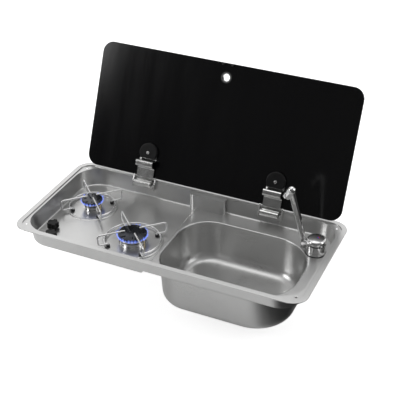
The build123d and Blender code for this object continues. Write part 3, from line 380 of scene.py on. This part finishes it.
# %% [markdown]
# ## The lid's glass
# The lid is tempered glass that is black right through to the eye: the colour is printed or
# bodied, so almost nothing passes and only the gloss shows. A dark, smooth dielectric gives
# that. Faint streaks in the roughness stand for the wiped surface that the picture shows.

# %% Dark glass
GLASS_BLACK = (0.003, 0.003, 0.0035, 1)
GLASS_IOR = 1.5
WIPE_STRETCH = (25, 3, 3)
WIPE_TURN = (0, 0.35, 0)

lid_glass, glass_tree, glass_shader = new_finish("dark_lid_glass")
glass_shader.inputs["Base Color"].default_value = GLASS_BLACK
glass_shader.inputs["IOR"].default_value = GLASS_IOR
streaks = noise(glass_tree, place(glass_tree, WIPE_STRETCH, WIPE_TURN), 1.0, 4.0)
join(glass_tree, between(glass_tree, streaks, 0.11, 0.17), glass_shader.inputs["Roughness"])
dress(lid_glass, "lid_glass")

# %% [markdown]
# ## Small coloured parts
# The flame probes have a glazed pale sleeve. The round mark on the tap is half red, for hot
# water, and half blue, for cold, split along a line through its middle.

# %% Probes
GLAZE_SCALE = 160


def light_skin(name, dark, light, low, high):
    finish, tree, shader = new_finish(name)
    tone = grains(tree, GLAZE_SCALE, 3.0)
    join(tree, tint(tree, tone, dark, light), shader.inputs["Base Color"])
    join(tree, between(tree, tone, low, high), shader.inputs["Roughness"])
    return finish


PROBE_GLAZE = light_skin("probe_pale_glaze", (0.62, 0.48, 0.28), (0.80, 0.68, 0.46), 0.2, 0.35)
dress(PROBE_GLAZE, "small_flame_probe", "large_flame_probe")

# %% The two-coloured mark
MARK_TURN = math.radians(40)
MARK_BLUR = 0.0002
SPECK_SCALE = 400
# a colour Mix node has its factor on socket 0 and its two colours on sockets 6 and 7
MIX_FACTOR, MIX_FIRST, MIX_SECOND = 0, 6, 7


def two_colour_mark(line):
    finish, tree, shader = new_finish("mark_red_and_blue")
    side = add(tree, "ShaderNodeSeparateXYZ")
    join(tree, place(tree, turned=(0, 0, MARK_TURN)), side.inputs["Vector"])
    half = between(tree, side.outputs["Y"], 0.0, 1.0, (line - MARK_BLUR, line + MARK_BLUR))
    speck = grains(tree, SPECK_SCALE, 2.0)
    pick = add(tree, "ShaderNodeMix", data_type="RGBA")
    join(tree, half, pick.inputs[MIX_FACTOR])
    join(tree, tint(tree, speck, (0.02, 0.05, 0.42), (0.03, 0.08, 0.55)), pick.inputs[MIX_FIRST])
    join(tree, tint(tree, speck, (0.45, 0.02, 0.02), (0.60, 0.03, 0.03)), pick.inputs[MIX_SECOND])
    join(tree, pick.outputs[2], shader.inputs["Base Color"])
    join(tree, between(tree, speck, 0.2, 0.3), shader.inputs["Roughness"])
    return finish


mark_box = [nodes["tap_mark"].matrix_world @ Vector(corner) for corner in nodes["tap_mark"].bound_box]
mark_middle = sum(mark_box, Vector()) / len(mark_box)
mark_line = (Matrix.Rotation(MARK_TURN, 3, "Z") @ mark_middle).y
dress(two_colour_mark(mark_line), "tap_mark")

# %% [markdown]
# ## Floor
# The ground is plain white. The floor is a pale diffuse sheet that glows for the camera, so
# that it reads white and still keeps the shadow. Reflections see it much dimmer, and beyond a
# line to the right they see it dark: a painted dark reflection that stands for a dark card at
# the right. This is a shortcut with a cost: metal doesn't show the ground that the camera
# sees, so the finishes look different under other light. Seen from below the floor is clear,
# so that the underside can be looked at.

# %% Floor
FLOOR_HALF = 12.0
FLOOR_GAP = 0.001

floor_z = cad_box[0][2] - FLOOR_GAP
floor_mesh = bpy.data.meshes.new("floor")
corners = [(x * FLOOR_HALF, y * FLOOR_HALF, floor_z) for x, y in ((-1, -1), (1, -1), (1, 1), (-1, 1))]
floor_mesh.from_pydata(corners, [], [(0, 1, 2, 3)])
floor = bpy.data.objects.new("floor", floor_mesh)
bpy.context.scene.collection.objects.link(floor)
print("floor at", round(floor_z, 4))

# %% The floor's finish
FLOOR_SEEN = 0.74
FLOOR_MIRRORED = 0.14
DARK_REFLECTION_SPAN = (0.28, 0.37)
GROUND_PALE, REFLECTED_DARK = (0.80, 0.80, 0.80, 1), (0.05, 0.05, 0.05, 1)

floor_white, floor_tree, floor_shader = new_finish("floor_white")
floor_shader.inputs["Roughness"].default_value = 1.0
floor_shader.inputs["Specular IOR Level"].default_value = 0.0
floor_shader.inputs["Emission Color"].default_value = (1, 1, 1, 1)
path = add(floor_tree, "ShaderNodeLightPath")
seen = add(floor_tree, "ShaderNodeMath", operation="MULTIPLY")
seen.inputs[1].default_value = FLOOR_SEEN
join(floor_tree, path.outputs["Is Camera Ray"], seen.inputs[0])
mirrored = add(floor_tree, "ShaderNodeMath", operation="MULTIPLY_ADD")
mirrored.inputs[1].default_value = FLOOR_MIRRORED
join(floor_tree, path.outputs["Is Glossy Ray"], mirrored.inputs[0])
join(floor_tree, seen.outputs["Value"], mirrored.inputs[2])
where = add(floor_tree, "ShaderNodeSeparateXYZ")
join(floor_tree, place(floor_tree), where.inputs["Vector"])
# painted dark reflection: beyond this line to the right, glossy rays see the floor dark, standing for a
# dark card at the right
to_right = between(floor_tree, where.outputs["X"], 0.0, 1.0, DARK_REFLECTION_SPAN)
dark_reflection = times(floor_tree, to_right, path.outputs["Is Glossy Ray"])
ground = add(floor_tree, "ShaderNodeMix", data_type="RGBA")
ground.inputs[MIX_FIRST].default_value = GROUND_PALE
ground.inputs[MIX_SECOND].default_value = REFLECTED_DARK
join(floor_tree, dark_reflection, ground.inputs[MIX_FACTOR])
join(floor_tree, ground.outputs[2], floor_shader.inputs["Base Color"])
lit = add(floor_tree, "ShaderNodeMath", operation="SUBTRACT", use_clamp=True)
join(floor_tree, mirrored.outputs["Value"], lit.inputs[0])
join(floor_tree, dark_reflection, lit.inputs[1])
join(floor_tree, lit.outputs["Value"], floor_shader.inputs["Emission Strength"])
under = add(floor_tree, "ShaderNodeNewGeometry")
solid = add(floor_tree, "ShaderNodeMath", operation="SUBTRACT")
solid.inputs[0].default_value = 1.0
join(floor_tree, under.outputs["Backfacing"], solid.inputs[1])
join(floor_tree, solid.outputs["Value"], floor_shader.inputs["Alpha"])
floor_mesh.materials.append(floor_white)
print(floor_white.name, "glows", FLOOR_SEEN, "for the camera and", FLOOR_MIRRORED, "in reflections")

# %% [markdown]
# ## World
# The camera sees a white world. Every other ray sees one that is bright behind the object,
# dark towards the camera, a little lit overhead and softly banded. The dark front leaves the
# glass black and the bands give the metal its streaks. It is the same shortcut as the floor's,
# with the same cost.

# %% World
FRONT_DARK = 0.09
BACK_BRIGHT = 0.95
TOP_BRIGHT = 0.35
BACK_SPAN = (-0.55, 0.55)
TOP_SPAN = (0.35, 0.80)
BAND_SCALE = 3.2
BAND_LOW, BAND_HIGH = 0.35, 1.6
SEEN_WHITE = 1.0

world = bpy.data.worlds.new("studio")
bpy.context.scene.world = world
world.use_nodes = True
sky = world.node_tree
background = sky.nodes["Background"]
background.inputs["Color"].default_value = (1, 1, 1, 1)
direction = add(sky, "ShaderNodeTexCoord")
split = add(sky, "ShaderNodeSeparateXYZ")
join(sky, direction.outputs["Generated"], split.inputs["Vector"])
toward_back = between(sky, split.outputs["Y"], FRONT_DARK, BACK_BRIGHT, BACK_SPAN, "SMOOTHSTEP")
overhead = between(sky, split.outputs["Z"], 0.0, TOP_BRIGHT, TOP_SPAN, "SMOOTHSTEP")
brighter = add(sky, "ShaderNodeMath", operation="MAXIMUM")
join(sky, toward_back, brighter.inputs[0])
join(sky, overhead, brighter.inputs[1])
bands = noise(sky, direction.outputs["Generated"], BAND_SCALE, 1.0)
stripes = times(sky, brighter.outputs["Value"], between(sky, bands, BAND_LOW, BAND_HIGH))
path = add(sky, "ShaderNodeLightPath")
# a float Mix node has its two values on sockets 2 and 3
white = add(sky, "ShaderNodeMix", data_type="FLOAT")
white.inputs[3].default_value = SEEN_WHITE
join(sky, path.outputs["Is Camera Ray"], white.inputs[MIX_FACTOR])
join(sky, stripes, white.inputs[2])
join(sky, white.outputs[0], background.inputs["Strength"])
print("world", world.name, "runs from", FRONT_DARK, "in front to", BACK_BRIGHT, "behind")

# %% [markdown]
# ## Lamps
# Three wide, soft lamps model the steel: one from the front left, one overhead and a weak one
# from the right. They are given by place, aim and size in millimetres, and power in watts.

# %% Lamps
def lamp(name, place_mm, aim_mm, size_mm, power):
    data = bpy.data.lights.new(name, "AREA")
    data.shape = "RECTANGLE"
    data.size, data.size_y = size_mm[0] * MM, size_mm[1] * MM
    data.energy = power
    light = bpy.data.objects.new(name, data)
    spot = Vector(place_mm) * MM
    aim = Vector(aim_mm) * MM
    facing = (spot - aim).to_track_quat("Z", "Y").to_matrix().to_4x4()
    light.matrix_world = Matrix.Translation(spot) @ facing
    bpy.context.scene.collection.objects.link(light)
    print("lamp", name, power, "W")


lamp("key_left", (-1900, -1500, 1150), (-200, 0, 100), (1000, 1000), 14)
lamp("top_soft", (-200, 100, 2200), (0, 0, 0), (2200, 1400), 9)
lamp("right_fill", (1900, 300, 1100), (100, 0, 0), (500, 1300), 5)

# %% [markdown]
# ## Rings of small forms
# The flames and the dashes are both one small form, set out at every point of a circle. These
# helpers build what the two trees share: the named inputs, the circle, the instances that are
# made real, the move to the burner's centre and the finish. A modifier's input is set by its
# socket's identifier, and the result is kept as a plain mesh.

# %% Helpers for rings
def socket_id(tree, name):
    for item in tree.interface.items_tree:
        if item.name == name and item.in_out == "INPUT":
            return item.identifier
    raise KeyError(name)


def ring_tree(name, inputs):
    tree = bpy.data.node_groups.new(name, "GeometryNodeTree")
    tree.interface.new_socket("Geometry", in_out="OUTPUT", socket_type="NodeSocketGeometry")
    for label, kind, value in inputs:
        socket = tree.interface.new_socket(label, in_out="INPUT", socket_type="NodeSocket" + kind)
        socket.default_value = value
    start = add(tree, "NodeGroupInput")
    ring = add(tree, "GeometryNodeMeshCircle")
    join(tree, start.outputs["Radius"], ring.inputs["Radius"])
    join(tree, start.outputs["Count"], ring.inputs["Vertices"])
    return tree, start, ring.outputs["Mesh"]


def set_out(tree, start, points, form, rotation, finish):
    spread = add(tree, "GeometryNodeInstanceOnPoints")
    join(tree, points, spread.inputs["Points"])
    join(tree, form, spread.inputs["Instance"])
    join(tree, rotation, spread.inputs["Rotation"])
    real = add(tree, "GeometryNodeRealizeInstances")
    join(tree, spread.outputs["Instances"], real.inputs["Geometry"])
    moved = add(tree, "GeometryNodeTransform")
    join(tree, real.outputs["Geometry"], moved.inputs["Geometry"])
    join(tree, start.outputs["Centre"], moved.inputs["Translation"])
    painted = add(tree, "GeometryNodeSetMaterial", Material=finish)
    join(tree, moved.outputs["Geometry"], painted.inputs["Geometry"])
    end = add(tree, "NodeGroupOutput")
    join(tree, painted.outputs["Geometry"], end.inputs["Geometry"])
    return spread, moved


def grow(name, tree, body, **values):
    """Run a tree with these inputs and keep its result as a plain mesh on one body."""
    seed_mesh = bpy.data.meshes.new(name + "_seed")
    piece = bpy.data.objects.new(name, seed_mesh)
    bpy.context.scene.collection.objects.link(piece)
    run = piece.modifiers.new("grow", "NODES")
    run.node_group = tree
    for key, value in values.items():
        run[socket_id(tree, key)] = value
    graph = bpy.context.evaluated_depsgraph_get()
    made = bpy.data.meshes.new_from_object(piece.evaluated_get(graph))
    made.name = name
    piece.modifiers.remove(run)
    piece.data = made
    bpy.data.meshes.remove(seed_mesh)
    for polygon in made.polygons:
        polygon.use_smooth = True
    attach(piece, body)
    print(name, "has", len(made.polygons), "faces")


# %% [markdown]
# ## The flames
# Both burners are lit. Each port feeds one small tongue of flame that leans out over the
# edge of the cap. Geometry Nodes set one tongue at every port of a circle, turn it outwards
# and vary its size with a fixed seed. A tongue starts as a sphere of radius 1: its height is
# mapped to run from 0 to the length, and it draws in towards a narrow tip.

# %% A tree that rings flames round a burner
TONGUE_SEGMENTS, TONGUE_RINGS = 8, 7
TAPER_SPAN = (-0.6, 1.0)
TIP_WIDTH = 0.12
FLAME_RISE = 0.45
SIZE_LOW, SIZE_HIGH = 0.75, 1.15
FLAME_INPUTS = (("Radius", "Float", 0.03), ("Count", "Int", 20), ("Length", "Float", 0.012),
                ("Width", "Float", 0.003), ("Centre", "Vector", (0, 0, 0)), ("Seed", "Int", 3))


def flame_tree(finish):
    tree, start, points = ring_tree("flame_ring", FLAME_INPUTS)
    tongue = add(tree, "GeometryNodeMeshUVSphere", Segments=TONGUE_SEGMENTS, Rings=TONGUE_RINGS,
                 Radius=1.0)
    where = add(tree, "GeometryNodeInputPosition")
    apart = add(tree, "ShaderNodeSeparateXYZ")
    join(tree, where.outputs["Position"], apart.inputs["Vector"])
    taper = between(tree, apart.outputs["Z"], 1.0, TIP_WIDTH, TAPER_SPAN, "SMOOTHSTEP")
    width = times(tree, taper, start.outputs["Width"])
    up = add(tree, "ShaderNodeMath", operation="MULTIPLY_ADD")
    up.inputs[1].default_value = 0.5
    up.inputs[2].default_value = 0.5
    join(tree, apart.outputs["Z"], up.inputs[0])
    shape = add(tree, "ShaderNodeCombineXYZ")
    join(tree, times(tree, apart.outputs["X"], width), shape.inputs["X"])
    join(tree, times(tree, apart.outputs["Y"], width), shape.inputs["Y"])
    join(tree, times(tree, up.outputs["Value"], start.outputs["Length"]), shape.inputs["Z"])
    formed = add(tree, "GeometryNodeSetPosition")
    join(tree, tongue.outputs["Mesh"], formed.inputs["Geometry"])
    join(tree, shape.outputs["Vector"], formed.inputs["Position"])
    # the tongue's Z leans out from the circle and up
    out = add(tree, "ShaderNodeVectorMath", operation="NORMALIZE")
    join(tree, where.outputs["Position"], out.inputs[0])
    lean = add(tree, "ShaderNodeVectorMath", operation="ADD")
    lean.inputs[1].default_value = (0, 0, FLAME_RISE)
    join(tree, out.outputs["Vector"], lean.inputs[0])
    aim = add(tree, "FunctionNodeAlignEulerToVector", axis="Z")
    join(tree, lean.outputs["Vector"], aim.inputs["Vector"])
    # a float Random Value has its limits on sockets 2 and 3 and its result on output 1
    vary = add(tree, "FunctionNodeRandomValue")
    vary.inputs[2].default_value = SIZE_LOW
    vary.inputs[3].default_value = SIZE_HIGH
    join(tree, start.outputs["Seed"], vary.inputs["Seed"])
    spread, moved = set_out(tree, start, points, formed.outputs["Geometry"], aim.outputs["Rotation"],
                            finish)
    join(tree, vary.outputs[1], spread.inputs["Scale"])
    return tree


# %% [markdown]
# ## The flames' glow
# A flame gives light rather than catching it, so its finish is emission mixed with
# transparency. The veil is thickest where a tongue faces the eye and thin at its outline. Two
# rings make each burner: a wide, faint halo, and short, bright cores at the roots. All rays
# but the camera's find the glow at 0.3 of its strength, which keeps it faint on the steel.
# That is a shortcut too, because a real flame lights what it is seen to light.

# %% Flames on both burners
FLAME_CAST = 0.3
FLAME_Z = -27.0
# for each burner: its name, its centre, the radius of its cap and the number of its ports
BURNERS = (("small", SMALL_BURNER, 27.8, 20), ("large", LARGE_BURNER, 37.3, 28))
# for each ring: how far inside the cap's edge it starts, then each tongue's length and width
HALO_SIZES = (5.0, 12.5, 5.0)
CORE_SIZES = (4.0, 5.5, 1.5)


def flame_finish(name, colour, strength, thin, thick):
    finish, tree, shader = new_finish(name)
    tree.nodes.remove(shader)
    glow = add(tree, "ShaderNodeEmission")
    glow.inputs["Color"].default_value = (*colour, 1)
    path = add(tree, "ShaderNodeLightPath")
    shone = between(tree, path.outputs["Is Camera Ray"], strength * FLAME_CAST, strength, (0.0, 1.0))
    join(tree, shone, glow.inputs["Strength"])
    clear = add(tree, "ShaderNodeBsdfTransparent")
    veil = add(tree, "ShaderNodeMixShader")
    edge = add(tree, "ShaderNodeLayerWeight", Blend=0.35)
    join(tree, between(tree, edge.outputs["Facing"], thick, thin, (0.0, 1.0)), veil.inputs["Fac"])
    join(tree, clear.outputs["BSDF"], veil.inputs[1])
    join(tree, glow.outputs["Emission"], veil.inputs[2])
    join(tree, veil.outputs["Shader"], tree.nodes["Material Output"].inputs["Surface"])
    return finish


halo_tree = flame_tree(flame_finish("flame_halo", (0.16, 0.26, 1.0), 2.0, 0.02, 0.30))
core_tree = flame_tree(flame_finish("flame_core", (0.50, 0.62, 1.0), 3.0, 0.30, 0.85))
for name, centre, cap_r, ports in BURNERS:
    middle = (centre[0] * MM, centre[1] * MM, FLAME_Z * MM)
    for part, tree, sizes in (("halo", halo_tree, HALO_SIZES), ("cores", core_tree, CORE_SIZES)):
        inset, length, width = sizes
        grow(f"{name}_flame_{part}", tree, "frame", Radius=(cap_r - inset) * MM, Count=ports,
             Length=length * MM, Width=width * MM, Centre=middle, Seed=ports)

# %% [markdown]
# ## Painted shadows on the caps
# Four short dark dashes on each cap, between its middle and its edge, are painted shadows
# where the pan support's wires shade it. Each is a thin bar that stands a little above the cap,
# and a ring of four points sets them out.

# %% Painted shadows on the caps
DASH_INPUTS = (("Radius", "Float", 0.02), ("Count", "Int", 4), ("Bar", "Vector", (0.008, 0.002, 0.0004)),
               ("Centre", "Vector", (0, 0, 0)), ("Turn", "Vector", (0, 0, 0)))


def dash_tree(finish):
    tree, start, points = ring_tree("painted_shadow_ring", DASH_INPUTS)
    bar = add(tree, "GeometryNodeMeshCube")
    join(tree, start.outputs["Bar"], bar.inputs["Size"])
    where = add(tree, "GeometryNodeInputPosition")
    aim = add(tree, "FunctionNodeAlignEulerToVector", axis="X")
    join(tree, where.outputs["Position"], aim.inputs["Vector"])
    spread, moved = set_out(tree, start, points, bar.outputs["Mesh"], aim.outputs["Rotation"], finish)
    join(tree, start.outputs["Turn"], moved.inputs["Rotation"])
    return tree


DASH_COUNT = 4
DASH_Z = -20.35
DASH_TURN = math.radians(28)
# as shares of the cap's radius
DASH_AT, DASH_LENGTH = 0.66, 0.26
DASH_WIDTH, DASH_HEIGHT = 2.4, 0.5
# painted shadow: these dark bars stand for the shadows that the pan support's wires cast on the caps
DASH_PAINTED_SHADOW = dark_skin("cap_dash_painted_shadow", (0.002, 0.002, 0.002), (0.005, 0.005, 0.005), 0.6, 0.8,
                       900, 0.00003, 0.2)
dashes = dash_tree(DASH_PAINTED_SHADOW)
for name, centre, cap_r, ports in BURNERS:
    grow(name + "_cap_painted_shadows", dashes, "frame", Radius=cap_r * DASH_AT * MM, Count=DASH_COUNT,
         Bar=(cap_r * DASH_LENGTH * MM, DASH_WIDTH * MM, DASH_HEIGHT * MM),
         Centre=(centre[0] * MM, centre[1] * MM, DASH_Z * MM), Turn=(0.0, 0.0, DASH_TURN))
